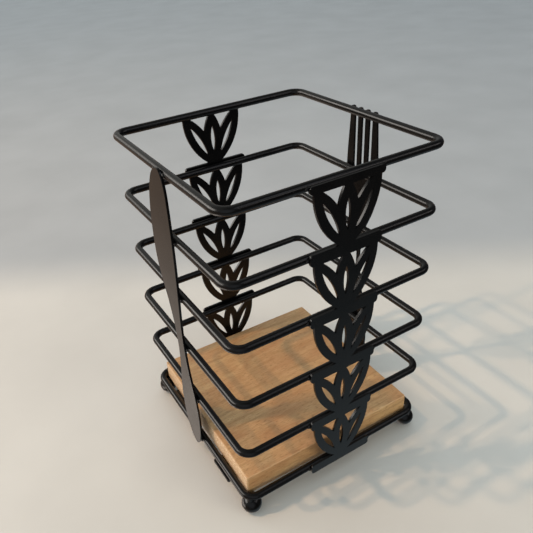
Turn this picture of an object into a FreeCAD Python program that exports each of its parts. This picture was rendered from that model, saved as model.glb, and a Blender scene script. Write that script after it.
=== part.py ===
import FreeCAD, Part
import math
import os

from FreeCAD import Vector

# Cutlery dispenser: an open square basket of bent steel wire rings, one above
# another, on four ball feet.  Four flat steel plates welded to the outside hold
# the rings apart: a knife silhouette on the left, a fork silhouette on the
# right, and a pierced leaf ornament at the front and at the back.  Two flat
# straps under the base ring carry the wooden board that is the basket's floor,
# and screws hold the board from below.  Nothing on it moves.
#
# Millimetres.  +Z is up and the front is -Y.  The origin is on the surface that
# the feet stand on, under the middle of the basket.

# Wire rings
RING_OUTSIDE = 109.5        # outside width of every ring, both ways
RING_WIRE = 3.75            # wire of the upper rings
BASE_WIRE = 3.75            # wire of the base ring
BEND_INSIDE_RADIUS = 4.2    # every corner is bent round the same former
UPPER_RINGS = 5
RING_PITCH = 30.5           # from one centreline to the next

# Ball feet
FOOT_DIAMETER = 10.0
FOOT_FLAT = 2.4             # across the small flat that the ball stands on
FOOT_INSET = 1.25           # ball inside the middle of the bend, along X and along Y
FOOT_BOARD_CLEARANCE = 0.15
FOOT_WELD = 3.2             # across the weld that joins the ball to the wire

# Board, and the straps and screws that carry it
BOARD_THICKNESS = 11.5
BOARD_TURN = 1.1            # degrees clockwise from above, within the play that it has in the base ring
BOARD_SIDE_GAP = 0.35       # left between the turned board and the base ring's straight sides
BOARD_CORNER_GAP = 0.2      # left between its corners and the ring's bends; less than BOARD_SIDE_GAP
BOARD_EDGE_ROUND = 0.8
STRAP_WIDTH = 15.7
STRAP_THICKNESS = 1.5
STRAP_INSET = 18.3          # strap's outer edge inside the ring's outside
STRAP_END_INSET = 0.3       # ends of a strap in the middle, inside the ring's outside
STRAP_SHIFT = 0.8           # front strap is welded on this much to the left, rear one to the right
STRAP_CORNER_ROUND = 1.0
SCREW_INSET = 23.8          # screw inside the ring's outside, along the strap
SCREW_DIAMETER = 3.0
SCREW_LENGTH = 9.0          # under the head, point included
SCREW_POINT = 2.5
SCREW_HEAD_DIAMETER = 5.6
SCREW_HEAD_HEIGHT = 1.9
RECESS_SPAN = 3.0           # cross recess in the screw head
RECESS_SLOT = 0.8
RECESS_DEPTH = 1.1
STRAP_HOLE_CLEARANCE = 0.3  # round the screw in the strap
PILOT_CLEARANCE = 0.05      # round the screw in the board

# Sheet steel of the four plates
SHEET = 1.2

# Handle, which the knife and the fork share
HANDLE_END_DROP = 5.5       # its end below the base ring's centreline
GRIP_WIDTH = 17.8
GRIP_RISE = 24.0            # widest place above the end
WAIST_WIDTH = 10.0
WAIST_RISE = 51.0           # where the handle starts to swell, above the end
NECK_WIDTH = 7.4

# Knife
KNIFE_TIP_RISE = 2.4        # tip above the top ring's centreline
KNIFE_TIP_SHIFT = 6.2       # tip from the blade's middle, towards the spine
BLADE_WIDTH = 22.4
SPINE_DROP = 12.0           # spine starts below the tip
BELLY_DROP = 45.0           # widest place of the cutting edge below the tip
HEEL_WIDTH = 15.8
HEEL_RISE = 99.5            # end of the blade, above the handle's end
KNIFE_NECK_RISE = 76.0
KNIFE_HANDLE_SHIFT = 1.7    # handle from the blade's middle, towards the spine

# Fork
FORK_TIP_RISE = 1.6         # tips above the top ring's centreline
FORK_TINES = 4
TINE_PITCH = 5.2
SLOT_WIDTH = 2.35
SLOT_LENGTH = 31.6
TINE_ROUND = 1.2
FORK_HEAD_WIDTH = 23.0
FORK_HEAD_DROP = 34.0       # widest place below the tips
SHOULDER_WIDTH = 19.6
SHOULDER_DROP = 50.5
FORK_NECK_DROP = 65.0

# Pierced leaf ornament: between two rings, three leaves on one root
ORNAMENT_WIDTH = 36.0
ORNAMENT_TOP_RISE = 0.8     # above the top ring's centreline
BAR_HEIGHT = 5.4            # bar in front of each ring
BAR_CORNER = 1.6
LEAF_WIDTH = 10.4
LEAF_TIP_INSET = 2.0        # side leaf's tip inside the end of the bar
VEIN_WIDTH = 2.4
VEIN_MARGIN = 8.2           # from either end of a leaf to its vein

UP = Vector(0, 0, 1)
DOWN = Vector(0, 0, -1)
RIGHTWARDS = Vector(1, 0, 0)
OUTWARDS = Vector(0, -1, 0)
FRONT, RIGHT, REAR, LEFT = 0, 90, 180, 270


# --- Heights and places -----------------------------------------------------

def foot_centre():
    """Height of a ball's centre, with its flat on the ground."""
    return math.sqrt((FOOT_DIAMETER / 2) ** 2 - (FOOT_FLAT / 2) ** 2)


def board_bottom():
    """Underside of the board, which is level with the straps' tops and the base ring's underside."""
    return foot_centre() + FOOT_DIAMETER / 2 + FOOT_BOARD_CLEARANCE


def strap_bottom():
    """Underside of the straps, where the screw heads seat."""
    return board_bottom() - STRAP_THICKNESS


def ring_level(index):
    """Centreline height of a ring: 0 is the base ring, and the others follow upwards."""
    return board_bottom() + BASE_WIRE / 2 + index * RING_PITCH


def handle_end():
    """Height of the knife's and the fork's lower end."""
    return ring_level(0) - HANDLE_END_DROP


def bend_middle(wire):
    """X, and Y, of the middle of a corner bend's centreline."""
    radius = BEND_INSIDE_RADIUS + wire / 2
    return RING_OUTSIDE / 2 - wire / 2 - radius * (1 - math.sqrt(0.5))


def corners():
    """Name and sides, along X and along Y, of the four corners."""
    return [("front_left", -1, -1), ("front_right", 1, -1), ("rear_right", 1, 1), ("rear_left", -1, 1)]


def strap_middle(side_y):
    """Y of the middle line of the front (-1) or rear (1) strap."""
    return side_y * (RING_OUTSIDE / 2 - STRAP_INSET - STRAP_WIDTH / 2)


def screw_places(side_y):
    """X and Y of the screws in one strap."""
    across = RING_OUTSIDE / 2 - SCREW_INSET
    return [(side_x * across, strap_middle(side_y)) for side_x in (-1, 1)]


# --- Simple shapes ----------------------------------------------------------

def block(width, depth, bottom, top, x=0.0, y=0.0):
    """Upright block between two heights, centred on x and y."""
    return Part.makeBox(width, depth, top - bottom, Vector(x - width / 2, y - depth / 2, bottom))


def cylinder(radius, bottom, top, x=0.0, y=0.0):
    """Upright cylinder between two heights."""
    return Part.makeCylinder(radius, top - bottom, Vector(x, y, bottom), UP)


def edges_along(shape, direction):
    """Straight edges of a shape that run along a direction."""
    return [
        edge
        for edge in shape.Edges
        if isinstance(edge.Curve, Part.Line) and edge.Curve.Direction.cross(direction).Length < 1e-6
    ]


# --- Wire rings and feet ----------------------------------------------------

def rounded_square(half_width, radius, height):
    """Closed square path with tangent corner arcs, from the middle of its front side."""
    start = Vector(0, -half_width, height)
    last = start
    edges = []
    for side_x, side_y, angle in ((1, -1, -90), (1, 1, 0), (-1, 1, 90), (-1, -1, 180)):
        centre = Vector(side_x * (half_width - radius), side_y * (half_width - radius), height)
        circle = Part.Circle(centre, UP, radius)
        arc = Part.ArcOfCircle(circle, math.radians(angle), math.radians(angle + 90))
        edges.append(Part.makeLine(last, arc.StartPoint))
        edges.append(arc.toShape())
        last = arc.EndPoint
    edges.append(Part.makeLine(last, start))
    return Part.Wire(edges)


def wire_ring(wire, height):
    """Square ring of round wire, swept along its centreline."""
    half_width = RING_OUTSIDE / 2 - wire / 2
    path = rounded_square(half_width, BEND_INSIDE_RADIUS + wire / 2, height)
    section = Part.Circle(Vector(0, -half_width, height), RIGHTWARDS, wire / 2).toShape()
    return path.makePipeShell([Part.Wire(section)], True, True)


def foot(side_x, side_y, base_ring):
    """Ball under a corner of the base ring, with the weld that joins it to the wire."""
    place = bend_middle(BASE_WIRE) - FOOT_INSET
    ball = Part.makeSphere(FOOT_DIAMETER / 2, Vector(side_x * place, side_y * place, foot_centre()))
    standing = block(FOOT_DIAMETER, FOOT_DIAMETER, 0, 2 * FOOT_DIAMETER, side_x * place, side_y * place)
    under_wire = bend_middle(BASE_WIRE)
    weld = cylinder(FOOT_WELD / 2, foot_centre(), ring_level(0), side_x * under_wire, side_y * under_wire)
    return ball.common(standing).fuse(weld).cut(base_ring)


# --- Board, straps and screws -----------------------------------------------

def board_width():
    """Width of the board, which leaves BOARD_SIDE_GAP on every side once it is turned."""
    turn = math.radians(BOARD_TURN)
    inside = RING_OUTSIDE - 2 * BASE_WIRE
    return (inside - 2 * BOARD_SIDE_GAP) / (math.cos(turn) + math.sin(turn))


def board_corner_radius():
    """Radius of the board's upright corners, which leaves BOARD_CORNER_GAP to the bends.

    The board is narrower than the ring's inside by play on each side, and the turn puts
    its corners aside from the ring's diagonals.  The radius follows from the distance
    between the corner's and the bend's centres.
    """
    play = RING_OUTSIDE / 2 - BASE_WIRE - board_width() / 2
    aside = board_width() / 2 * math.sin(math.radians(BOARD_TURN))
    apart = math.sqrt(2 * max((play - BOARD_CORNER_GAP) ** 2 - aside ** 2, 0))
    radius = BEND_INSIDE_RADIUS - (2 * play - BOARD_CORNER_GAP + apart)
    return max(radius, BOARD_EDGE_ROUND)


def screw_core(x, y, clearance=0.0):
    """Shank and point of a screw, or with a clearance the hole for them."""
    radius = SCREW_DIAMETER / 2 + clearance
    shoulder = strap_bottom() + SCREW_LENGTH - SCREW_POINT
    point = Part.makeCone(radius, 0, SCREW_POINT + clearance, Vector(x, y, shoulder), UP)
    return cylinder(radius, strap_bottom(), shoulder, x, y).fuse(point)


def wood_board():
    """Board inside the base ring, its edges eased, with a pilot hole for each screw."""
    board = block(board_width(), board_width(), board_bottom(), board_bottom() + BOARD_THICKNESS)
    board = board.makeFillet(board_corner_radius(), edges_along(board, UP))
    rims = [edge for face in board.Faces if abs(face.normalAt(0, 0).z) > 0.99 for edge in face.Edges]
    board = board.makeFillet(BOARD_EDGE_ROUND, rims)
    board.rotate(Vector(0, 0, 0), DOWN, BOARD_TURN)
    for side_y in (-1, 1):
        for x, y in screw_places(side_y):
            board = board.cut(screw_core(x, y, PILOT_CLEARANCE))
    return board


def strap(side_y):
    """Flat strap across the underside of the base ring, with two screw holes."""
    length = RING_OUTSIDE - 2 * STRAP_END_INSET
    middle = (side_y * STRAP_SHIFT, strap_middle(side_y))
    bar = block(length, STRAP_WIDTH, strap_bottom(), board_bottom(), *middle)
    bar = bar.makeFillet(STRAP_CORNER_ROUND, edges_along(bar, UP))
    for x, y in screw_places(side_y):
        radius = SCREW_DIAMETER / 2 + STRAP_HOLE_CLEARANCE
        bar = bar.cut(cylinder(radius, strap_bottom(), board_bottom(), x, y))
    return bar


def board_screw(x, y):
    """Pan-head wood screw, upwards from the strap, with a cross recess in its head."""
    radius = SCREW_HEAD_DIAMETER / 2
    crown = strap_bottom() - SCREW_HEAD_HEIGHT
    dome = (radius ** 2 + SCREW_HEAD_HEIGHT ** 2) / (2 * SCREW_HEAD_HEIGHT)
    head = Part.makeSphere(dome, Vector(x, y, crown + dome))
    head = head.common(cylinder(radius, crown, strap_bottom(), x, y))
    for width, depth in ((RECESS_SPAN, RECESS_SLOT), (RECESS_SLOT, RECESS_SPAN)):
        head = head.cut(block(width, depth, crown, crown + RECESS_DEPTH, x, y))
    return head.fuse(screw_core(x, y)).removeSplitter()


def board_screws():
    """The four screws, as one group of solids."""
    return Part.makeCompound([board_screw(x, y) for side_y in (-1, 1) for x, y in screw_places(side_y)])


# --- Sheet plates -----------------------------------------------------------
# A plate is drawn as it is seen from outside the basket, x to the right and z
# up, and then set against the rings on its own side.

def drawn(across, height):
    """Point of a plate's drawing."""
    return Vector(across, 0, height)


def side_curve(points, start_direction, end_direction):
    """Smooth edge through points, with the directions that it starts and ends in."""
    spline = Part.BSplineCurve()
    spline.interpolate(Points=points, InitialTangent=start_direction, FinalTangent=end_direction)
    return spline.toShape()


def quarter_oval(start, corner, end):
    """Quarter of an ellipse, tangent to the lines from start to corner and from corner to end."""
    oval = Part.BezierCurve()
    oval.setPoles([start, corner, end])
    oval.setWeight(2, math.sqrt(0.5))
    return oval.toShape()


def sheet(edges):
    """Sheet metal of a closed outline, its edges in any order, from the drawing's plane outwards."""
    outline = Part.Wire(Part.__sortEdges__(edges))
    return Part.Face(outline).extrude(OUTWARDS * SHEET)


def against_rings(plate, side):
    """A drawn plate moved against the rings on one side of the basket."""
    plate.translate(OUTWARDS * (RING_OUTSIDE / 2))
    plate.rotate(Vector(), UP, side)
    return plate


def handle_places(side, shift):
    """Waist and grip of a handle on one side of its middle line."""
    waist = drawn(shift + side * WAIST_WIDTH / 2, handle_end() + WAIST_RISE)
    grip = drawn(shift + side * GRIP_WIDTH / 2, handle_end() + GRIP_RISE)
    return [waist, grip]


def handle_bottom(shift):
    """Rounded lower end of a handle, as two edges."""
    end = drawn(shift, handle_end())
    edges = []
    for side in (1, -1):
        grip = handle_places(side, shift)[-1]
        edges.append(quarter_oval(grip, drawn(grip.x, end.z), end))
    return edges


def knife_plate():
    """Table knife, its spine nearly straight and its cutting edge full."""
    tip = drawn(KNIFE_TIP_SHIFT, ring_level(UPPER_RINGS) + KNIFE_TIP_RISE)
    edges = handle_bottom(KNIFE_HANDLE_SHIFT)
    for side, drop in ((1, SPINE_DROP), (-1, BELLY_DROP)):
        blade = drawn(side * BLADE_WIDTH / 2, tip.z - drop)
        heel = drawn(side * HEEL_WIDTH / 2, handle_end() + HEEL_RISE)
        neck = drawn(KNIFE_HANDLE_SHIFT + side * NECK_WIDTH / 2, handle_end() + KNIFE_NECK_RISE)
        points = [blade, heel, neck, *handle_places(side, KNIFE_HANDLE_SHIFT)]
        edges.append(quarter_oval(tip, drawn(blade.x, tip.z), blade))
        edges.append(side_curve(points, DOWN, DOWN))
    return against_rings(sheet(edges), LEFT)


def fork_plate():
    """Table fork with four tines."""
    tip = ring_level(UPPER_RINGS) + FORK_TIP_RISE
    tine = TINE_PITCH - SLOT_WIDTH
    tip_width = (FORK_TINES - 1) * TINE_PITCH + tine
    edges = [Part.makeLine(drawn(-tip_width / 2, tip), drawn(tip_width / 2, tip))]
    edges += handle_bottom(0)
    for side in (1, -1):
        points = [
            drawn(side * tip_width / 2, tip),
            drawn(side * FORK_HEAD_WIDTH / 2, tip - FORK_HEAD_DROP),
            drawn(side * SHOULDER_WIDTH / 2, tip - SHOULDER_DROP),
            drawn(side * NECK_WIDTH / 2, tip - FORK_NECK_DROP),
            *handle_places(side, 0),
        ]
        flare = points[1] - points[0]
        edges.append(side_curve(points, flare.normalize(), DOWN))
    fork = sheet(edges)
    slot_root = tip - SLOT_LENGTH + SLOT_WIDTH / 2
    for slot in range(FORK_TINES - 1):
        across = (slot - (FORK_TINES - 2) / 2) * TINE_PITCH
        end = Part.makeCylinder(SLOT_WIDTH / 2, SHEET, drawn(across, slot_root), OUTWARDS)
        fork = fork.cut(block(SLOT_WIDTH, 2 * SHEET, slot_root, tip, across).fuse(end))
    tine_ends = [edge for edge in edges_along(fork, OUTWARDS) if edge.CenterOfMass.z > tip - SLOT_WIDTH / 2]
    return against_rings(fork.makeFillet(min(TINE_ROUND, 0.45 * tine), tine_ends), RIGHT)


def leaf(root, tip, width):
    """Pointed oval of sheet from a root to a tip, made of two arcs."""
    run = tip - root
    beside = Vector(-run.z, 0, run.x).normalize() * (width / 2)
    middle = (root + tip) * 0.5
    return sheet([Part.Arc(root, middle + beside * side, tip).toShape() for side in (1, -1)])


def vein(root, tip):
    """Pointed opening along the middle of a leaf."""
    margin = (tip - root).normalize() * VEIN_MARGIN
    return leaf(root + margin, tip - margin, VEIN_WIDTH)


def ornament_bar(bottom, top):
    """Bar of sheet between two heights, with rounded corners."""
    bar = block(ORNAMENT_WIDTH, SHEET, bottom, top, 0, -SHEET / 2)
    radius = min(BAR_CORNER, 0.45 * (top - bottom))
    return bar.makeFillet(radius, edges_along(bar, OUTWARDS))


def ornament_plate(side):
    """Pierced leaf ornament, with a bar in front of every ring that it is welded to."""
    reach = ORNAMENT_WIDTH / 2 - LEAF_TIP_INSET
    metal = []
    veins = []
    for index in range(UPPER_RINGS):
        root = drawn(0, ring_level(index))
        metal.append(ornament_bar(root.z - BAR_HEIGHT / 2, root.z + BAR_HEIGHT / 2))
        for across in (-reach, 0, reach):
            tip = drawn(across, ring_level(index + 1))
            metal.append(leaf(root, tip, LEAF_WIDTH))
            veins.append(vein(root, tip))
    top_ring = ring_level(UPPER_RINGS)
    top_bar = ornament_bar(top_ring - BAR_HEIGHT / 2, top_ring + ORNAMENT_TOP_RISE)
    plate = top_bar.fuse(metal).removeSplitter().cut(veins)
    return against_rings(plate, side)


# --- The whole dispenser ----------------------------------------------------

def parts():
    """Every sub-part by the name of its node."""
    base_ring = wire_ring(BASE_WIRE, ring_level(0))
    shapes = {"base_ring": base_ring}
    for index in range(1, UPPER_RINGS + 1):
        shapes[f"ring_{index}"] = wire_ring(RING_WIRE, ring_level(index))
    for name, side_x, side_y in corners():
        shapes[f"foot_{name}"] = foot(side_x, side_y, base_ring)
    shapes["strap_front"] = strap(-1)
    shapes["strap_rear"] = strap(1)
    shapes["wood_board"] = wood_board()
    shapes["board_screws"] = board_screws()
    shapes["knife_plate"] = knife_plate()
    shapes["fork_plate"] = fork_plate()
    shapes["ornament_front"] = ornament_plate(FRONT)
    shapes["ornament_rear"] = ornament_plate(REAR)
    return shapes


def main():
    """Write each sub-part to its own STEP file."""
    os.makedirs("parts", exist_ok=True)
    for name, shape in parts().items():
        shape.exportStep(f"parts/{name}.step")
        print(f"{name}: {len(shape.Solids)} solid(s), {shape.Volume:.1f} mm3, valid {shape.isValid()}")


if __name__ == "__main__":
    main()
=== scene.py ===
"""Visual model of the cutlery dispenser: a basket of coated wire and cut steel plates on a beech board."""

import logging
import math
from dataclasses import dataclass
from enum import Enum

import bpy
from mathutils import Matrix, Vector


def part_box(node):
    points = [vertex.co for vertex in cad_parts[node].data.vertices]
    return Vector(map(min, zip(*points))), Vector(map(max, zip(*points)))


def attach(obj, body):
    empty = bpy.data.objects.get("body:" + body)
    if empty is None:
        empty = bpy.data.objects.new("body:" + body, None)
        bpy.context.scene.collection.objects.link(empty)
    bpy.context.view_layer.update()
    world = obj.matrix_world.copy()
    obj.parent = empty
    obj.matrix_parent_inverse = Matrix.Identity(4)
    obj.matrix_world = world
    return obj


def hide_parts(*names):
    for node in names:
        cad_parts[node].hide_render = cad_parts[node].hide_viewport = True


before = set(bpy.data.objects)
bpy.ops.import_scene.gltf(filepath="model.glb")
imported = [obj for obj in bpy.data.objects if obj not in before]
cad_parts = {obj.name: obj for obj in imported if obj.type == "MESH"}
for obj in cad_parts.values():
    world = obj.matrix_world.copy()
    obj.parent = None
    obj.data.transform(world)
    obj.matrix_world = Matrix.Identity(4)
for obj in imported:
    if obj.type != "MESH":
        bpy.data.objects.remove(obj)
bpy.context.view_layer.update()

LOG = logging.getLogger("cutlery_dispenser")
MM = 0.001  # the drawing sizes below are in millimetres, and Blender works in metres
BODY = "root"
COLOUR_A, COLOUR_B, MIXED = 6, 7, 2  # inputs and output of a Mix node that mixes colours
NOISE_LOW, NOISE_HIGH = 0.3, 0.7  # nearly all of a noise texture's values lie between these

Triple = tuple[float, float, float]
Span = tuple[float, float]
Place = tuple[Vector, Vector]  # middle of a weld, and the way it lies
Tree = bpy.types.NodeTree
Socket = bpy.types.NodeSocket
Piece = bpy.types.Object


# Small tools


def linear(hex_colour: str) -> tuple[float, float, float, float]:
    """Turn an sRGB hex colour into the linear colour that a shader works in.

    Args:
        hex_colour: Colour as "#rrggbb".

    Returns:
        Linear red, green and blue, and an alpha of one.
    """
    channels = [int(hex_colour[place : place + 2], 16) / 255 for place in (1, 3, 5)]
    red, green, blue = (c / 12.92 if c <= 0.04045 else ((c + 0.055) / 1.055) ** 2.4 for c in channels)
    return red, green, blue, 1.0


def add_node(
    tree: Tree,
    kind: str,
    values: dict[str | int, object] | None = None,
    links: dict[str | int, Socket] | None = None,
    **settings: object,
) -> bpy.types.Node:
    """Add a node with its settings, its values and what runs into it.

    Args:
        tree: Node tree that the node joins.
        kind: Blender's name of the node type.
        values: Input name or number, and the value that it holds.
        links: Input name or number, and the output that runs into it.
        **settings: Properties of the node itself.

    Returns:
        The new node.
    """
    node = tree.nodes.new(kind)
    for name, setting in settings.items():
        setattr(node, name, setting)
    for place, value in (values or {}).items():
        node.inputs[place].default_value = value
    for place, output in (links or {}).items():
        tree.links.new(output, node.inputs[place])
    return node


def set_ramp(node: bpy.types.Node, stops: list[tuple[float, str]]) -> None:
    """Give a colour ramp its stops.

    Args:
        node: Colour ramp node.
        stops: Place from 0 to 1 and sRGB hex colour of each stop, in order.
    """
    elements = node.color_ramp.elements
    while len(elements) < len(stops):
        elements.new(0.5)
    for element, (place, colour) in zip(elements, stops):
        element.position = place
        element.color = linear(colour)


def new_material(name: str) -> tuple[bpy.types.Material, Tree]:
    """Start a material with an empty node tree.

    Args:
        name: Name of the material.

    Returns:
        The material and its node tree.
    """
    material = bpy.data.materials.new(name)
    material.use_nodes = True
    material.node_tree.nodes.clear()
    return material, material.node_tree


def work_on(piece: Piece) -> None:
    """Make a piece the only selected and active object.

    Args:
        piece: The piece.
    """
    bpy.ops.object.select_all(action="DESELECT")
    piece.select_set(True)
    bpy.context.view_layer.objects.active = piece


def apply_modifiers(piece: Piece) -> None:
    """Apply every modifier of a piece, first to last.

    Args:
        piece: The piece.
    """
    work_on(piece)
    for modifier in list(piece.modifiers):
        bpy.ops.object.modifier_apply(modifier=modifier.name)


def join(pieces: list[Piece]) -> Piece:
    """Join pieces into one.

    Args:
        pieces: The pieces.

    Returns:
        The first of them, which now holds them all.
    """
    bpy.ops.object.select_all(action="DESELECT")
    for piece in pieces:
        piece.select_set(True)
    bpy.context.view_layer.objects.active = pieces[0]
    bpy.ops.object.join()
    return pieces[0]


def settle(piece: Piece, name: str, coating: bpy.types.Material) -> Piece:
    """Finish a coated piece: bake its place into its mesh, give it its material, and let it ride.

    Args:
        piece: Modelled piece.
        name: Name that it gets.
        coating: Its material.

    Returns:
        The same piece.
    """
    work_on(piece)
    bpy.ops.object.transform_apply(location=True, rotation=True, scale=True)
    piece.name = piece.data.name = name
    piece.data.materials.clear()
    piece.data.materials.append(coating)
    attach(piece, BODY)
    return piece


def finish_nodes(names: tuple[str, ...], material: bpy.types.Material) -> list[Piece]:
    """Give CAD nodes a material.

    Args:
        names: The nodes.
        material: Their material.

    Returns:
        Their objects.
    """
    nodes = [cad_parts[name] for name in names]
    for node in nodes:
        node.material_slots[0].material = material
    return nodes


# Finishes


@dataclass(frozen=True)
class PowderCoat:
    """Black polyester powder, sprayed on steel and baked: satin, with fine orange peel in its highlights."""

    name: str = "powder_coated_steel_black_satin"
    colour: str = "#040404"
    thin_colour: str = "#080707"  # where the powder lies thinner it is a shade greyer
    cloud_width: float = 14 * MM  # from one thin place to the next
    roughness: float = 0.235
    roughness_spread: float = 0.04
    ior: float = 1.5
    gloss: float = 0.36  # the matting agent in a satin powder takes part of a smooth coat's 0.5
    peel_width: float = 0.9 * MM  # from one bump of the orange peel to the next
    peel_height: float = 0.012 * MM
    peel_strength: float = 0.6

    def material(self) -> bpy.types.Material:
        """Build the coating.

        Returns:
            The material.
        """
        material, tree = new_material(self.name)
        place = add_node(tree, "ShaderNodeTexCoord").outputs["Object"]
        cloud = add_node(
            tree, "ShaderNodeTexNoise", {"Scale": 1 / self.cloud_width, "Detail": 3.0}, {"Vector": place}
        )
        colour = add_node(tree, "ShaderNodeValToRGB", None, {"Fac": cloud.outputs["Fac"]})
        set_ramp(colour, [(0.35, self.colour), (0.7, self.thin_colour)])
        roughness = add_node(
            tree,
            "ShaderNodeMapRange",
            {
                "From Min": NOISE_LOW,
                "From Max": NOISE_HIGH,
                "To Min": self.roughness - self.roughness_spread,
                "To Max": self.roughness + self.roughness_spread,
            },
            {"Value": cloud.outputs["Fac"]},
        )
        peel = add_node(
            tree, "ShaderNodeTexNoise", {"Scale": 1 / self.peel_width, "Detail": 1.5}, {"Vector": place}
        )
        bump = add_node(
            tree,
            "ShaderNodeBump",
            {"Strength": self.peel_strength, "Distance": self.peel_height},
            {"Height": peel.outputs["Fac"]},
        )
        shader = add_node(
            tree,
            "ShaderNodeBsdfPrincipled",
            {"IOR": self.ior, "Specular IOR Level": self.gloss},
            {
                "Base Color": colour.outputs["Color"],
                "Roughness": roughness.outputs["Result"],
                "Normal": bump.outputs["Normal"],
            },
        )
        add_node(tree, "ShaderNodeOutputMaterial", None, {"Surface": shader.outputs["BSDF"]})
        return material


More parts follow.
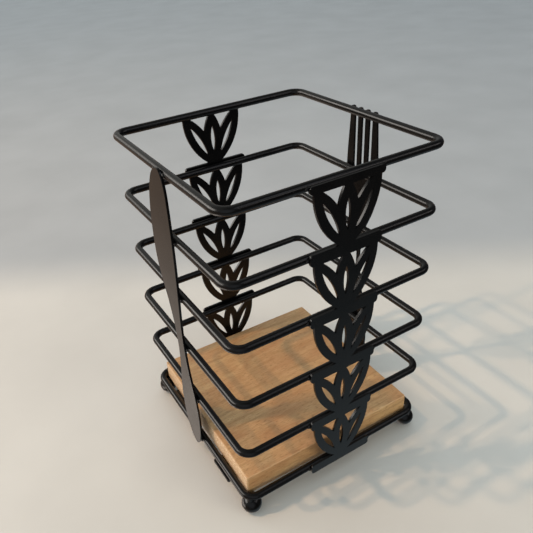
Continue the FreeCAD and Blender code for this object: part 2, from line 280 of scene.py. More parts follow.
@dataclass(frozen=True)
class OiledBeech:
    """Beech, planed along the grain, with eased edges, and oiled: warm tan with short dark flecks.

    The grain runs along X. The ends are painted paler, standing in for the light that falls on them, and show
    the cut fibres as fine speckles.
    """

    name: str = "beech_planed_and_oiled"

    # Figure of the planed faces
    streak_width: float = 2.4 * MM
    streak_length: float = 11 * MM
    dark_streak: str = "#b49067"
    middle_streak: str = "#c29f74"
    pale_streak: str = "#cfae83"
    fibre_width: float = 0.35 * MM
    fibre_length: float = 6 * MM
    fibre_shade: str = "#f1e9de"
    cloud_width: float = 9 * MM
    cloud_length: float = 24 * MM
    cloud_shade: str = "#ead8c8"  # where the wood took up more oil
    cloud_light: str = "#fffef4"

    # Flecks: the real pores are finer than shows, so they are drawn at the least width that does
    fleck_width: float = 0.5 * MM
    fleck_length: float = 2.6 * MM
    fleck_levels: Span = (0.58, 0.68)  # noise values from no fleck to a full one
    fleck_colour: str = "#7a5530"
    fleck_share: float = 0.62

    # Growth rings, which show only in some of the clouds
    growth: float = 2.6 * MM  # from one growth ring to the next
    pith: Triple = (0.0, 18 * MM, -40 * MM)  # middle of the tree that the board was sawn from
    run_out: float = 0.2  # how fast the rings change along the grain, against across it
    late_wood_levels: Span = (0.75, 1.0)  # values of the rings' wave, from no late wood to full
    late_wood_clouds: Span = (0.42, 0.6)  # values of the clouds, from no rings to full ones
    late_wood_colour: str = "#8d6539"
    late_wood_share: float = 0.4

    # Painted highlight on the edges and painted paler ends, found by the way that the surface faces
    flat_facing: float = 0.97  # part of its normal along one axis, on a flat face
    edge_facing: float = 0.8  # the same part, on an eased edge
    # painted highlight, where the eased edges catch the light
    edge_highlight_colour: str = "#e2c69e"
    edge_highlight_share: float = 0.18
    # the ends are painted paler over their cut fibres, to stand in for the light that falls on them
    end_fibre_lit_colour: str = "#ffe8c4"
    end_pore_colour: str = "#d4a26f"
    end_pore_levels: Span = (0.4, 0.6)
    end_lit_share: float = 0.7

    # Surface
    roughness: float = 0.55
    ior: float = 1.47
    relief: float = 0.05 * MM
    relief_strength: float = 0.5

    @staticmethod
    def grain(tree: Tree, place: Socket, width: float, length: float, values: dict[str, float]) -> Socket:
        """Make a noise that is stretched along the grain.

        Args:
            tree: Node tree of the wood.
            place: Coordinates in the board.
            width: Size of the pattern across the grain.
            length: Its size along the grain.
            values: Values of the noise, apart from its scale.

        Returns:
            The noise, from 0 to 1.
        """
        scale = (1 / length, 1 / width, 1 / width)
        stretched = add_node(tree, "ShaderNodeMapping", {"Scale": scale}, {"Vector": place})
        noise = add_node(
            tree, "ShaderNodeTexNoise", {"Scale": 1.0, **values}, {"Vector": stretched.outputs["Vector"]}
        )
        return noise.outputs["Fac"]

    def planed(self, tree: Tree, streaks: Socket, fibres: Socket, clouds: Socket) -> Socket:
        """Colour the planed wood: streaks, shaded by fine fibres and by broad clouds.

        Args:
            tree: Node tree of the wood.
            streaks: Noise of the streaks.
            fibres: Noise of the fibres.
            clouds: Noise of the clouds.

        Returns:
            The colour.
        """
        streak_colour = add_node(tree, "ShaderNodeValToRGB", None, {"Fac": streaks})
        set_ramp(streak_colour, [(0.2, self.dark_streak), (0.5, self.middle_streak), (0.8, self.pale_streak)])
        fibre_shade = add_node(tree, "ShaderNodeValToRGB", None, {"Fac": fibres})
        set_ramp(fibre_shade, [(0.35, self.fibre_shade), (0.6, "#ffffff")])
        cloud_shade = add_node(tree, "ShaderNodeValToRGB", None, {"Fac": clouds})
        set_ramp(cloud_shade, [(NOISE_LOW, self.cloud_shade), (NOISE_HIGH, self.cloud_light)])
        colour = streak_colour.outputs["Color"]
        for shade in (fibre_shade, cloud_shade):
            shaded = add_node(
                tree,
                "ShaderNodeMix",
                {"Factor": 1.0},
                {COLOUR_A: colour, COLOUR_B: shade.outputs["Color"]},
                data_type="RGBA",
                blend_type="MULTIPLY",
            )
            colour = shaded.outputs[MIXED]
        return colour

    def flecked(self, tree: Tree, colour: Socket, flecks: Socket) -> Socket:
        """Lay the dark flecks over a colour.

        Args:
            tree: Node tree of the wood.
            colour: Colour without flecks.
            flecks: Where the flecks are, from 0 to 1.

        Returns:
            The colour with flecks.
        """
        share = add_node(tree, "ShaderNodeMath", {1: self.fleck_share}, {0: flecks}, operation="MULTIPLY")
        mixed = add_node(
            tree,
            "ShaderNodeMix",
            {COLOUR_B: linear(self.fleck_colour)},
            {"Factor": share.outputs["Value"], COLOUR_A: colour},
            data_type="RGBA",
        )
        return mixed.outputs[MIXED]

    def ringed(self, tree: Tree, place: Socket, colour: Socket, clouds: Socket) -> Socket:
        """Lay the dark late wood of the growth rings over a colour.

        Args:
            tree: Node tree of the wood.
            place: Coordinates in the board.
            colour: Colour without growth rings.
            clouds: Noise of the clouds.

        Returns:
            The colour with growth rings.
        """
        trunk = add_node(
            tree,
            "ShaderNodeMapping",
            {"Location": [-c for c in self.pith], "Scale": (self.run_out, 1.0, 1.0)},
            {"Vector": place},
        )
        wave_length = math.pi / 10  # of a wave texture at scale 1
        rings = add_node(
            tree,
            "ShaderNodeTexWave",
            {"Scale": wave_length / self.growth, "Distortion": 2.5, "Detail": 2.0, "Detail Scale": 1.0},
            {"Vector": trunk.outputs["Vector"]},
            wave_type="RINGS",
            rings_direction="X",
        )
        late_wood = add_node(
            tree,
            "ShaderNodeMapRange",
            {
                "From Min": self.late_wood_levels[0],
                "From Max": self.late_wood_levels[1],
                "To Max": self.late_wood_share,
            },
            {"Value": rings.outputs["Fac"]},
        )
        patches = add_node(
            tree,
            "ShaderNodeMapRange",
            {"From Min": self.late_wood_clouds[0], "From Max": self.late_wood_clouds[1]},
            {"Value": clouds},
        )
        share = add_node(
            tree,
            "ShaderNodeMath",
            None,
            {0: late_wood.outputs["Result"], 1: patches.outputs["Result"]},
            operation="MULTIPLY",
        )
        mixed = add_node(
            tree,
            "ShaderNodeMix",
            {COLOUR_B: linear(self.late_wood_colour)},
            {"Factor": share.outputs["Value"], COLOUR_A: colour},
            data_type="RGBA",
        )
        return mixed.outputs[MIXED]

    def edge_highlighted(self, tree: Tree, colour: Socket, facing: bpy.types.Node) -> Socket:
        """Paint a highlight on the eased edges, where the surface faces no axis.

        Args:
            tree: Node tree of the wood.
            colour: Colour of the faces.
            facing: Parts of the surface's normal along X, Y and Z, without their signs.

        Returns:
            The colour with a painted highlight on the edges.
        """
        largest = facing.outputs["X"]
        for axis in ("Y", "Z"):
            larger = add_node(
                tree, "ShaderNodeMath", None, {0: largest, 1: facing.outputs[axis]}, operation="MAXIMUM"
            )
            largest = larger.outputs["Value"]
        share = add_node(
            tree,
            "ShaderNodeMapRange",
            {"From Min": self.flat_facing, "From Max": self.edge_facing, "To Max": self.edge_highlight_share},
            {"Value": largest},
        )
        mixed = add_node(
            tree,
            "ShaderNodeMix",
            {COLOUR_B: linear(self.edge_highlight_colour)},
            {"Factor": share.outputs["Result"], COLOUR_A: colour},
            data_type="RGBA",
        )
        return mixed.outputs[MIXED]

    def sawn_and_lit(self, tree: Tree, colour: Socket, facing: bpy.types.Node, flecks: Socket) -> Socket:
        """Give the two ends their cut fibres and pores, painted paler to stand in for the light on them.

        Args:
            tree: Node tree of the wood.
            colour: Colour of the faces and edges.
            facing: Parts of the surface's normal along X, Y and Z, without their signs.
            flecks: Noise of the flecks, which are the pores seen from the side.

        Returns:
            The colour with cut ends, painted paler as if lit.
        """
        share = add_node(
            tree,
            "ShaderNodeMapRange",
            {"From Min": self.edge_facing, "From Max": self.flat_facing, "To Max": self.end_lit_share},
            {"Value": facing.outputs["X"]},
        )
        pores = add_node(
            tree,
            "ShaderNodeMapRange",
            {"From Min": self.end_pore_levels[0], "From Max": self.end_pore_levels[1]},
            {"Value": flecks},
        )
        end_colour = add_node(
            tree,
            "ShaderNodeMix",
            {COLOUR_A: linear(self.end_fibre_lit_colour), COLOUR_B: linear(self.end_pore_colour)},
            {"Factor": pores.outputs["Result"]},
            data_type="RGBA",
        )
        mixed = add_node(
            tree,
            "ShaderNodeMix",
            None,
            {"Factor": share.outputs["Result"], COLOUR_A: colour, COLOUR_B: end_colour.outputs[MIXED]},
            data_type="RGBA",
        )
        return mixed.outputs[MIXED]

    def material(self) -> bpy.types.Material:
        """Build the wood.

        Returns:
            The material.
        """
        material, tree = new_material(self.name)
        place = add_node(tree, "ShaderNodeTexCoord").outputs["Object"]
        streaks = self.grain(
            tree,
            place,
            self.streak_width,
            self.streak_length,
            {"Detail": 5.0, "Roughness": 0.6, "Distortion": 0.5},
        )
        fibres = self.grain(tree, place, self.fibre_width, self.fibre_length, {"Detail": 2.0})
        clouds = self.grain(
            tree, place, self.cloud_width, self.cloud_length, {"Detail": 3.0, "Distortion": 0.6}
        )
        flecks = self.grain(
            tree, place, self.fleck_width, self.fleck_length, {"Detail": 2.0, "Roughness": 0.5}
        )
        fleck_mask = add_node(
            tree,
            "ShaderNodeMapRange",
            {"From Min": self.fleck_levels[0], "From Max": self.fleck_levels[1]},
            {"Value": flecks},
        ).outputs["Result"]
        normal = add_node(tree, "ShaderNodeNewGeometry").outputs["Normal"]
        unsigned = add_node(tree, "ShaderNodeVectorMath", None, {0: normal}, operation="ABSOLUTE")
        facing = add_node(tree, "ShaderNodeSeparateXYZ", None, {"Vector": unsigned.outputs["Vector"]})
        colour = self.planed(tree, streaks, fibres, clouds)
        colour = self.flecked(tree, colour, fleck_mask)
        colour = self.ringed(tree, place, colour, clouds)
        # painted highlight along the eased edges
        colour = self.edge_highlighted(tree, colour, facing)
        # cut ends, painted paler where light would fall on them
        colour = self.sawn_and_lit(tree, colour, facing, flecks)
        height = add_node(tree, "ShaderNodeMath", None, {0: streaks, 1: fleck_mask}, operation="SUBTRACT")
        bump = add_node(
            tree,
            "ShaderNodeBump",
            {"Strength": self.relief_strength, "Distance": self.relief},
            {"Height": height.outputs["Value"]},
        )
        shader = add_node(
            tree,
            "ShaderNodeBsdfPrincipled",
            {"Roughness": self.roughness, "IOR": self.ior},
            {"Base Color": colour, "Normal": bump.outputs["Normal"]},
        )
        add_node(tree, "ShaderNodeOutputMaterial", None, {"Surface": shader.outputs["BSDF"]})
        return material


@dataclass(frozen=True)
class ZincPlate:
    """Steel screws, zinc plated and blue passivated: bright grey metal with a faint cloudy bloom."""

    name: str = "zinc_plated_steel_passivated"
    colour: str = "#c3c8cc"
    bloom_colour: str = "#b4b3a8"
    bloom_width: float = 1.5 * MM
    bloom_height: float = 0.01 * MM
    bloom_strength: float = 0.3
    roughness: float = 0.32

    def material(self) -> bpy.types.Material:
        """Build the plating.

        Returns:
            The material.
        """
        material, tree = new_material(self.name)
        place = add_node(tree, "ShaderNodeTexCoord").outputs["Object"]
        bloom = add_node(
            tree, "ShaderNodeTexNoise", {"Scale": 1 / self.bloom_width, "Detail": 3.0}, {"Vector": place}
        )
        colour = add_node(tree, "ShaderNodeValToRGB", None, {"Fac": bloom.outputs["Fac"]})
        set_ramp(colour, [(0.4, self.colour), (0.7, self.bloom_colour)])
        bump = add_node(
            tree,
            "ShaderNodeBump",
            {"Strength": self.bloom_strength, "Distance": self.bloom_height},
            {"Height": bloom.outputs["Fac"]},
        )
        shader = add_node(
            tree,
            "ShaderNodeBsdfPrincipled",
            {"Metallic": 1.0, "Roughness": self.roughness},
            {"Base Color": colour.outputs["Color"], "Normal": bump.outputs["Normal"]},
        )
        add_node(tree, "ShaderNodeOutputMaterial", None, {"Surface": shader.outputs["BSDF"]})
        return material


@dataclass(frozen=True)
class TableTop:
    """Laminate table top, pressed satin: pale warm grey round the object, and cooler behind it."""

    name: str = "laminate_pressed_satin"
    near_colour: str = "#cac9c2"
    far_colour: str = "#a8acad"
    fade_way: Triple = (0.53, 0.848, 0.0)  # level direction in which it turns cooler
    fade_start: float = 0.115  # metres that way from the middle of the object
    fade_end: float = 0.195
    clouds_per_metre: float = 12.0
    cloud_shade: str = "#f4f4f4"
    roughness: float = 0.5
    ior: float = 1.45

    def material(self) -> bpy.types.Material:
        """Build the table top.

        Returns:
            The material.
        """
        material, tree = new_material(self.name)
        place = add_node(tree, "ShaderNodeTexCoord").outputs["Object"]
        away = add_node(
            tree, "ShaderNodeVectorMath", {1: self.fade_way}, {0: place}, operation="DOT_PRODUCT"
        )
        fade = add_node(
            tree,
            "ShaderNodeMapRange",
            {"From Min": self.fade_start, "From Max": self.fade_end},
            {"Value": away.outputs["Value"]},
            interpolation_type="SMOOTHSTEP",
        )
        colour = add_node(
            tree,
            "ShaderNodeMix",
            {COLOUR_A: linear(self.near_colour), COLOUR_B: linear(self.far_colour)},
            {"Factor": fade.outputs["Result"]},
            data_type="RGBA",
        )
        cloud = add_node(
            tree, "ShaderNodeTexNoise", {"Scale": self.clouds_per_metre, "Detail": 4.0}, {"Vector": place}
        )
        shade = add_node(tree, "ShaderNodeValToRGB", None, {"Fac": cloud.outputs["Fac"]})
        set_ramp(shade, [(NOISE_LOW, self.cloud_shade), (NOISE_HIGH, "#ffffff")])
        tinted = add_node(
            tree,
            "ShaderNodeMix",
            {"Factor": 1.0},
            {COLOUR_A: colour.outputs[MIXED], COLOUR_B: shade.outputs["Color"]},
            data_type="RGBA",
            blend_type="MULTIPLY",
        )
        shader = add_node(
            tree,
            "ShaderNodeBsdfPrincipled",
            {"Roughness": self.roughness, "IOR": self.ior},
            {"Base Color": tinted.outputs[MIXED]},
        )
        add_node(tree, "ShaderNodeOutputMaterial", None, {"Surface": shader.outputs["BSDF"]})
        return material


# Studio


@dataclass(frozen=True)
class Lamp:
    """One lamp, facing the middle of the object. Lengths are in metres, and its power in watts."""

    name: str
    towards: Triple  # where it hangs, seen from the middle of the object
    distance: float
    face: Span  # width and height
    power: float
    colour: str
    mirrored: bool = True  # the coating mirrors it and nothing is lit by it, or the other way round

    def hang(self, middle: Vector) -> None:
        """Hang the lamp in its place.

        Args:
            middle: Middle of the object.
        """
        data = bpy.data.lights.new(self.name, "AREA")
        data.shape = "RECTANGLE" if self.mirrored else "ELLIPSE"
        data.energy = self.power
        data.size, data.size_y = self.face
        data.color = linear(self.colour)[:3]
        lamp = bpy.data.objects.new(self.name, data)
        bpy.context.scene.collection.objects.link(lamp)
        away = Vector(self.towards).normalized()
        lamp.location = middle + away * self.distance
        lamp.rotation_euler = away.to_track_quat("Z", "Y").to_euler()
        lamp.visible_camera = False
        lamp.visible_glossy = self.mirrored
        lamp.visible_diffuse = not self.mirrored


class Fade(Enum):
    """Way in which a patch of the surroundings fades out."""

    EVEN = "LINEAR"
    SOFT = "SMOOTHSTEP"


@dataclass(frozen=True)
class Patch:
    """Part of the surroundings round one direction, fading out towards its rim."""

    towards: Triple
    rim: float  # cosine of the angle from that direction to where the patch begins
    core: float  # cosine of the angle to where it is at its full strength
    fade: Fade = Fade.SOFT

    def share(self, tree: Tree, way: Socket) -> Socket:
        """Work out how much of the patch is seen in a direction.

        Args:
            tree: Node tree of the surroundings.
            way: Direction that is looked in.

        Returns:
            Share from 0, outside the rim, to 1.
        """
        nearness = add_node(
            tree,
            "ShaderNodeVectorMath",
            {1: Vector(self.towards).normalized()},
            {0: way},
            operation="DOT_PRODUCT",
        )
        share = add_node(
            tree,
            "ShaderNodeMapRange",
            {"From Min": self.rim, "From Max": self.core},
            {"Value": nearness.outputs["Value"]},
            interpolation_type=self.fade.value,
        )
        return share.outputs["Result"]


@dataclass(frozen=True)
class Surroundings:
    """Soft light from all round, and the room that the satin coating mirrors.

    Colours are levels of light: linear red, green and blue.
    """

    name: str = "surroundings"

    # Light from all round, brighter to the left and behind
    sky_dim: Triple = (0.58, 0.63, 0.66)
    sky_bright: Triple = (1.24, 1.33, 1.40)
    sky_side: Patch = Patch((-0.75, 0.55, 0.35), -0.1, 1.0, Fade.EVEN)

    # Mirrored room: dark in front and to the right, and lit to the left and behind
    lit_side: Patch = Patch((-0.62, 0.78, 0.0), -0.5, 0.9)
    low_dark: Triple = (0.053, 0.050, 0.050)
    low_steep: Triple = (0.28, 0.335, 0.36)  # steeply below, on the dark side
    low_lit: Triple = (0.36, 0.262, 0.197)
    steep_rise: Span = (-0.42, -0.80)  # upward part of the direction, from low_dark to low_steep
    high_dark: Triple = (0.062, 0.067, 0.073)
    high_lit: Triple = (0.50, 0.50, 0.47)
    level_rise: Span = (-0.2, 0.15)  # upward part of the direction, from the low part to the high one

    # Lit table low down and behind, which the knife plate mirrors, most of all near its foot
    sheen: Patch = Patch((-0.163, 0.473, -0.866), 0.79, 0.985)
    sheen_light: Triple = (0.73, 0.63, 0.545)

    # Broad window in front and to the left
    window: Patch = Patch((-0.5, -0.82, 0.3), 0.70, 0.97)
    window_light: Triple = (0.42, 0.44, 0.48)

    def sky(self, tree: Tree, way: Socket) -> Socket:
        """Make the light that falls on everything.

        Args:
            tree: Node tree of the surroundings.
            way: Direction that is looked in.

        Returns:
            The light.
        """
        mixed = add_node(
            tree,
            "ShaderNodeMix",
            {COLOUR_A: (*self.sky_dim, 1.0), COLOUR_B: (*self.sky_bright, 1.0)},
            {"Factor": self.sky_side.share(tree, way)},
            data_type="RGBA",
        )
        return mixed.outputs[MIXED]

    def room(self, tree: Tree, way: Socket) -> Socket:
        """Make what the coating mirrors.

        Args:
            tree: Node tree of the surroundings.
            way: Direction that is looked in.

        Returns:
            The light.
        """
        lit = self.lit_side.share(tree, way)
        rise = add_node(tree, "ShaderNodeSeparateXYZ", None, {"Vector": way}).outputs["Z"]
        steep = add_node(
            tree,
            "ShaderNodeMapRange",
            {"From Min": self.steep_rise[0], "From Max": self.steep_rise[1]},
            {"Value": rise},
            interpolation_type="SMOOTHSTEP",
        )
        low_front = add_node(
            tree,
            "ShaderNodeMix",
            {COLOUR_A: (*self.low_dark, 1.0), COLOUR_B: (*self.low_steep, 1.0)},
            {"Factor": steep.outputs["Result"]},
            data_type="RGBA",
        )
        low_round = add_node(
            tree,
            "ShaderNodeMix",
            {COLOUR_B: (*self.low_lit, 1.0)},
            {"Factor": lit, COLOUR_A: low_front.outputs[MIXED]},
            data_type="RGBA",
        )
        low = add_node(
            tree,
            "ShaderNodeMix",
            {COLOUR_B: (*self.sheen_light, 1.0)},
            {"Factor": self.sheen.share(tree, way), COLOUR_A: low_round.outputs[MIXED]},
            data_type="RGBA",
        )
        high = add_node(
            tree,
            "ShaderNodeMix",
            {COLOUR_A: (*self.high_dark, 1.0), COLOUR_B: (*self.high_lit, 1.0)},
            {"Factor": lit},
            data_type="RGBA",
        )
        level = add_node(
            tree,
            "ShaderNodeMapRange",
            {"From Min": self.level_rise[0], "From Max": self.level_rise[1]},
            {"Value": rise},
            interpolation_type="SMOOTHSTEP",
        )
        walls = add_node(
            tree,
            "ShaderNodeMix",
            None,
            {"Factor": level.outputs["Result"], COLOUR_A: low.outputs[MIXED], COLOUR_B: high.outputs[MIXED]},
            data_type="RGBA",
        )
        with_window = add_node(
            tree,
            "ShaderNodeMix",
            {COLOUR_B: (*self.window_light, 1.0)},
            {"Factor": self.window.share(tree, way), COLOUR_A: walls.outputs[MIXED]},
            data_type="RGBA",
        )
        return with_window.outputs[MIXED]

    def build(self) -> None:
        """Put the surroundings round the scene."""
        world = bpy.data.worlds.new(self.name)
        world.use_nodes = True
        tree = world.node_tree
        tree.nodes.clear()
        way = add_node(tree, "ShaderNodeTexCoord").outputs["Generated"]
        mirrored = add_node(tree, "ShaderNodeLightPath").outputs["Is Glossy Ray"]
        light = add_node(
            tree,
            "ShaderNodeMix",
            None,
            {"Factor": mirrored, COLOUR_A: self.sky(tree, way), COLOUR_B: self.room(tree, way)},
            data_type="RGBA",
        )
        background = add_node(
            tree, "ShaderNodeBackground", {"Strength": 1.0}, {"Color": light.outputs[MIXED]}
        )
        add_node(tree, "ShaderNodeOutputWorld", None, {"Surface": background.outputs["Background"]})
        bpy.context.scene.world = world


@dataclass
class Studio:
    """Camera, table top, lamps and surroundings. Lengths are in metres."""

    camera_place: Triple = (-0.12723, -0.20638, 0.24977)
    camera_right: Triple = (0.85576, -0.51351, -0.06317)
    camera_down: Triple = (-0.31864, -0.42689, -0.84631)
    camera_forward: Triple = (0.40762, 0.74436, -0.52894)
    camera_clip: float = 0.01
    lens: float = 38.32  # millimetres, as the sensor's width is
    sensor: float = 36.0
    shift: Span = (0.0326, -0.0023)
    table_width: float = 6.0
    table_thickness: float = 0.03
    middle: Triple = (0.0, 0.0, 0.08)  # what the lamps face
    lamps: tuple[Lamp, ...] = (
        # Two small warm lamps, which throw the shadows, and a fill
        Lamp("lamp_high", (-0.64, 0.30, 1.0), 1.3, (0.035, 0.035), 3.8, "#ffd2a8", mirrored=False),
        Lamp("lamp_low", (-0.91, 0.387, 1.0), 1.3, (0.035, 0.035), 3.8, "#ffd2a8", mirrored=False),
        Lamp("fill_front", (0.5, -0.87, 0.2), 1.2, (0.5, 0.3), 3.9, "#fff2d8", mirrored=False),
        # Strips that show only as highlights along the wires and plates
        Lamp("strip_left", (-0.778, 0.449, 0.438), 1.5, (1.5, 0.62), 17.3, "#fff7ef"),
        Lamp("strip_right", (0.635, -0.613, 0.469), 1.5, (1.1, 0.25), 1.6, "#fff6f4"),
        Lamp("strip_rear", (-0.40, 0.857, 0.326), 1.5, (0.6, 0.5), 1.04, "#fff7ef"),
        Lamp("strip_front", (0.367, -0.544, 0.755), 1.5, (0.7, 0.5), 1.05, "#f4f8ff"),
        # Stands for the lit table beside the base ring, because the table top itself isn't mirrored
        Lamp("floor_glow", (-0.76, 0.117, -0.643), 0.171, (0.12, 0.04), 0.05, "#fff4ea"),
    )

    def camera(self) -> None:
        """Set up the camera and make it the scene's own."""
        data = bpy.data.cameras.new("camera")
        data.lens = self.lens
        data.sensor_width = self.sensor
        data.clip_start = self.camera_clip
        data.shift_x, data.shift_y = self.shift
        camera = bpy.data.objects.new("camera", data)
        bpy.context.scene.collection.objects.link(camera)
        axes = Matrix((self.camera_right, [-c for c in self.camera_down], [-c for c in self.camera_forward]))
        camera.matrix_world = Matrix.Translation(self.camera_place) @ axes.transposed().to_4x4()
        bpy.context.scene.camera = camera

    def table(self, finish: TableTop) -> None:
        """Make the table top that the object stands on.

        Args:
            finish: Its finish.
        """
        bpy.ops.object.select_all(action="DESELECT")
        bpy.ops.mesh.primitive_plane_add(size=self.table_width, location=(0, 0, 0))
        table = bpy.context.object
        bpy.ops.object.mode_set(mode="EDIT")
        bpy.ops.mesh.extrude_region_move(TRANSFORM_OT_translate={"value": (0, 0, -self.table_thickness)})
        bpy.ops.mesh.select_all(action="SELECT")
        bpy.ops.mesh.normals_make_consistent(inside=False)
        bpy.ops.object.mode_set(mode="OBJECT")
        table.name = table.data.name = "table_top"
        table.data.materials.append(finish.material())
        table.visible_glossy = False  # the coating mirrors the surroundings alone

    def build(self) -> None:
        """Set up everything round the object."""
        self.camera()
        self.table(TableTop())
        for lamp in self.lamps:
            lamp.hang(Vector(self.middle))
        Surroundings().build()
        bpy.context.scene.view_settings.view_transform = "Standard"


# Sub-assemblies


@dataclass
class WireBasket:
    """Six rings of bent wire."""

    rings: tuple[str, ...] = ("base_ring", "ring_1", "ring_2", "ring_3", "ring_4", "ring_5")

    def levels(self) -> list[float]:
        """Give the height of each ring's centreline, from the lowest up."""
        return [(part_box(name)[0][2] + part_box(name)[1][2]) / 2 for name in self.rings]

    def reach(self) -> float:
        """Give the distance from the middle to the outside of the wires."""
        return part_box(self.rings[-1])[1][0]

    def dress(self, coating: bpy.types.Material) -> list[Piece]:
        """Coat the rings and return them."""
        return finish_nodes(self.rings, coating)


@dataclass
class BallFeet:
    """Four steel balls welded under the corners."""

    balls: tuple[str, ...] = ("foot_front_left", "foot_front_right", "foot_rear_right", "foot_rear_left")

    def dress(self, coating: bpy.types.Material) -> list[Piece]:
        """Coat the feet and return them."""
        return finish_nodes(self.balls, coating)


@dataclass
class BoardAndStraps:
    """Beech board on two straps, held by four screws."""

    board: str = "wood_board"
    screws: str = "board_screws"
    straps: tuple[str, ...] = ("strap_front", "strap_rear")

    def dress(
        self, coating: bpy.types.Material, wood: bpy.types.Material, zinc: bpy.types.Material
    ) -> list[Piece]:
        """Finish the board, the straps and the screws.

        Args:
            coating: Material of the straps.
            wood: Material of the board.
            zinc: Material of the screws.

        Returns:
            Their objects.
        """
        return [
            *finish_nodes((self.board,), wood),
            *finish_nodes((self.screws,), zinc),
            *finish_nodes(self.straps, coating),
        ]


class Side(Enum):
    """Side of the basket: the plate that is welded to it, and the way the plate faces."""

    LEFT = ("knife_plate", (-1, 0, 0))
    RIGHT = ("fork_plate", (1, 0, 0))
    FRONT = ("ornament_front", (0, -1, 0))
    REAR = ("ornament_rear", (0, 1, 0))

    @property
    def plate(self) -> str:
        """Name of the plate's node."""
        return self.value[0]

    @property
    def outward(self) -> Vector:
        """Direction that the plate faces."""
        return Vector(self.value[1])

    @property
    def across(self) -> Vector:
        """Level direction across the plate, along the wires."""
        return Vector((abs(self.value[1][1]), abs(self.value[1][0]), 0))


@dataclass
class CutPlates:
    """Knife, fork and two leaf ornaments, cut from sheet, with the coating rounded over their edges."""

    merge_distance: float = 0.002 * MM
    flat_angle: float = math.radians(0.5)  # faces that meet at less are one flat face
    edge_angle: float = math.radians(50)  # faces that meet at more have a cut edge between them
    edge_round: float = 0.22 * MM
    edge_steps: int = 2
    smooth_angle: float = math.radians(40)
    flat_weight: int = 100  # how far the large flat faces rule the shading of the edges beside them

    def rounded(self, name: str) -> Piece:
        """Copy a plate and round its edges.

        Args:
            name: Node of the plate.

        Returns:
            The rounded plate.
        """
        piece = bpy.data.objects.new(name + "_coated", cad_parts[name].data.copy())
        bpy.context.scene.collection.objects.link(piece)
        work_on(piece)
        bpy.ops.mesh.customdata_custom_splitnormals_clear()
        bpy.ops.object.mode_set(mode="EDIT")
        bpy.ops.mesh.select_all(action="SELECT")
        bpy.ops.mesh.remove_doubles(threshold=self.merge_distance)
        bpy.ops.mesh.dissolve_limited(angle_limit=self.flat_angle)
        bpy.ops.object.mode_set(mode="OBJECT")
        bevel = piece.modifiers.new("edges", "BEVEL")
        bevel.width = self.edge_round
        bevel.segments = self.edge_steps
        bevel.limit_method = "ANGLE"
        bevel.angle_limit = self.edge_angle
        apply_modifiers(piece)
        bpy.ops.object.shade_smooth_by_angle(angle=self.smooth_angle)
        flat_faces = piece.modifiers.new("flat_faces", "WEIGHTED_NORMAL")
        flat_faces.weight = self.flat_weight
        flat_faces.keep_sharp = True
        apply_modifiers(piece)
        return piece

    def build(self, coating: bpy.types.Material) -> list[Piece]:
        """Make all four plates.

        Args:
            coating: Their material.

        Returns:
            The plates, which take the places of their nodes.
        """
        plates = []
        for side in Side:
            plate = settle(self.rounded(side.plate), side.plate + "_coated", coating)
            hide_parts(side.plate)
            plates.append(plate)
        return plates


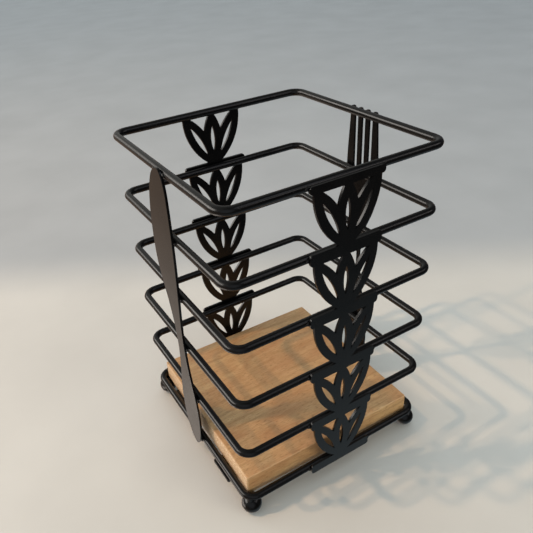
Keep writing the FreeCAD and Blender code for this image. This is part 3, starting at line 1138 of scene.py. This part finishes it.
@dataclass
class Welds:
    """Lumps of weld under the coating, at the plates' edges, the straps and the feet."""

    # One lump, lying along a wire or across a strap's edge
    length: float = 2.5 * MM
    height: float = 2.0 * MM
    depth: float = 1.4 * MM
    segments: int = 12
    rings: int = 8
    roughening: float = 0.16 * MM
    evenness: float = 0.2
    seed: int = 5
    least_swell: float = 0.88  # size of the smallest of the copies
    swell_step: float = 0.08
    swell_steps: int = 4
    swell_stride: int = 7  # steps from one copy to the next, so that neighbours differ
    edge_gap: float = 0.3 * MM  # middle of a lump outside the plate's edge

    # Bead round the top of a foot
    bead_radius: float = 1.9 * MM
    bead_thickness: float = 1.5 * MM
    bead_drop: float = 0.15 * MM  # middle of the bead below the base ring
    bead_segments: int = 24
    bead_sides: int = 10
    bead_roughening: float = 0.15 * MM
    bead_evenness: float = 0.1

    @staticmethod
    def roughen(offset: float, evenness: float, seed: int) -> None:
        """Make the mesh that is in edit mode a little uneven, as a weld is.

        Args:
            offset: How far a point moves at most.
            evenness: Share of that distance that it moves at least.
            seed: Seed of the random moves.
        """
        bpy.ops.transform.vertex_random(offset=offset, uniform=evenness, normal=1.0, seed=seed)
        bpy.ops.mesh.vertices_smooth(factor=0.5, repeat=1)
        bpy.ops.mesh.normals_make_consistent(inside=False)

    def lump(self) -> Piece:
        """Model one lump at the origin, lying along X.

        Returns:
            The lump.
        """
        bpy.ops.object.select_all(action="DESELECT")
        bpy.ops.mesh.primitive_uv_sphere_add(segments=self.segments, ring_count=self.rings, radius=0.5)
        piece = bpy.context.object
        bpy.ops.object.mode_set(mode="EDIT")
        bpy.ops.mesh.select_all(action="SELECT")
        bpy.ops.transform.resize(value=(self.length, self.depth, self.height))
        self.roughen(self.roughening, self.evenness, self.seed)
        bpy.ops.object.mode_set(mode="OBJECT")
        rounding = piece.modifiers.new("rounding", "SUBSURF")
        rounding.levels = rounding.render_levels = 1
        apply_modifiers(piece)
        bpy.ops.object.shade_smooth()
        return piece

    def copies(self, lump: Piece, places: list[Place]) -> Piece:
        """Copy the lump to its places, each turned and swollen a little differently, and join the copies.

        Args:
            lump: Lump that is copied.
            places: Place of each copy.

        Returns:
            The joined copies.
        """
        made = []
        for number, (middle, along) in enumerate(places):
            piece = bpy.data.objects.new("lump", lump.data.copy())
            bpy.context.scene.collection.objects.link(piece)
            swell = self.least_swell + self.swell_step * (number * self.swell_stride % self.swell_steps)
            roll = Matrix.Rotation(math.pi * (number % 2), 4, "X") @ Matrix.Scale(swell, 4)
            turn = along.to_track_quat("X", "Z").to_matrix().to_4x4()
            piece.data.transform(Matrix.Translation(middle) @ turn @ roll)
            made.append(piece)
        return join(made)

    @staticmethod
    def edges(side: Side, level: float) -> Span:
        """Find where a plate's two edges are at a level.

        Args:
            side: Side that the plate is on.
            level: Height.

        Returns:
            Lowest and highest place across the plate.
        """
        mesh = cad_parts[side.plate].data
        cuts = []
        for edge in mesh.edges:
            low, high = sorted((mesh.vertices[v].co for v in edge.vertices), key=lambda point: point.z)
            if low.z <= level < high.z:
                cut = low.lerp(high, (level - low.z) / (high.z - low.z))
                cuts.append(cut.dot(side.across))
        return min(cuts), max(cuts)

    def plate_places(self, side: Side, basket: WireBasket) -> list[Place]:
        """List the lumps of one plate: one at each edge, at each ring.

        Args:
            side: Side that the plate is on.
            basket: Rings that it is welded to.

        Returns:
            Place of each lump.
        """
        places = []
        for level in basket.levels():
            for end, edge in zip((-1, 1), self.edges(side, level)):
                middle = side.outward * basket.reach() + side.across * (edge + end * self.edge_gap)
                places.append((middle + Vector((0, 0, level)), side.across))
        return places

    @staticmethod
    def strap_places(straps: tuple[str, ...]) -> list[Place]:
        """List the lumps of the straps: one at each edge of a strap, under each wire that it crosses.

        Args:
            straps: Nodes of the straps.

        Returns:
            Place of each lump.
        """
        low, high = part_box("base_ring")
        wire = (high[2] - low[2]) / 2
        places = []
        for name in straps:
            near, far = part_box(name)
            for x in (low[0] + wire, high[0] - wire):
                for y in (near[1], far[1]):
                    places.append((Vector((x, y, far[2])), Vector((0, 1, 0))))
        return places

    def beads(self, balls: tuple[str, ...]) -> Piece:
        """Run a bead of weld round the top of each ball.

        Args:
            balls: Nodes of the balls.

        Returns:
            The beads, joined.
        """
        made = []
        for number, name in enumerate(balls, start=1):
            low, high = (Vector(corner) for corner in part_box(name))
            middle = (low + high) / 2
            bpy.ops.object.select_all(action="DESELECT")
            bpy.ops.mesh.primitive_torus_add(
                location=(middle.x, middle.y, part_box("base_ring")[0][2] - self.bead_drop),
                major_radius=self.bead_radius,
                minor_radius=self.bead_thickness / 2,
                major_segments=self.bead_segments,
                minor_segments=self.bead_sides,
            )
            bpy.ops.object.mode_set(mode="EDIT")
            bpy.ops.mesh.select_all(action="SELECT")
            self.roughen(self.bead_roughening, self.bead_evenness, seed=number)
            bpy.ops.object.mode_set(mode="OBJECT")
            bpy.ops.object.shade_smooth()
            made.append(bpy.context.object)
        return join(made)

    def build(
        self, coating: bpy.types.Material, basket: WireBasket, straps: tuple[str, ...], balls: tuple[str, ...]
    ) -> list[Piece]:
        """Make the welds of the whole basket.

        Args:
            coating: Material of the welds, which were coated with the rest.
            basket: Rings that carry the welds.
            straps: Nodes of the straps.
            balls: Nodes of the balls.

        Returns:
            The welds of each plate, of the straps and of the feet.
        """
        lump = self.lump()
        welds = []
        for side in Side:
            of_plate = self.copies(lump, self.plate_places(side, basket))
            welds.append(settle(of_plate, side.plate + "_welds", coating))
        welds.append(settle(self.copies(lump, self.strap_places(straps)), "strap_welds", coating))
        welds.append(settle(self.beads(balls), "foot_welds", coating))
        bpy.data.objects.remove(lump)
        return welds


def main() -> None:
    """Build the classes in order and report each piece."""
    logging.basicConfig(level=logging.INFO, format="%(name)s: %(message)s")
    Studio().build()
    coating = PowderCoat().material()
    basket = WireBasket()
    feet = BallFeet()
    floor = BoardAndStraps()
    pieces = [
        *basket.dress(coating),
        *CutPlates().build(coating),
        *Welds().build(coating, basket, floor.straps, feet.balls),
        *floor.dress(coating, OiledBeech().material(), ZincPlate().material()),
        *feet.dress(coating),
    ]
    for piece in pieces:
        LOG.info("%s: %d faces", piece.name, len(piece.data.polygons))


if __name__ == "__main__":
    main()
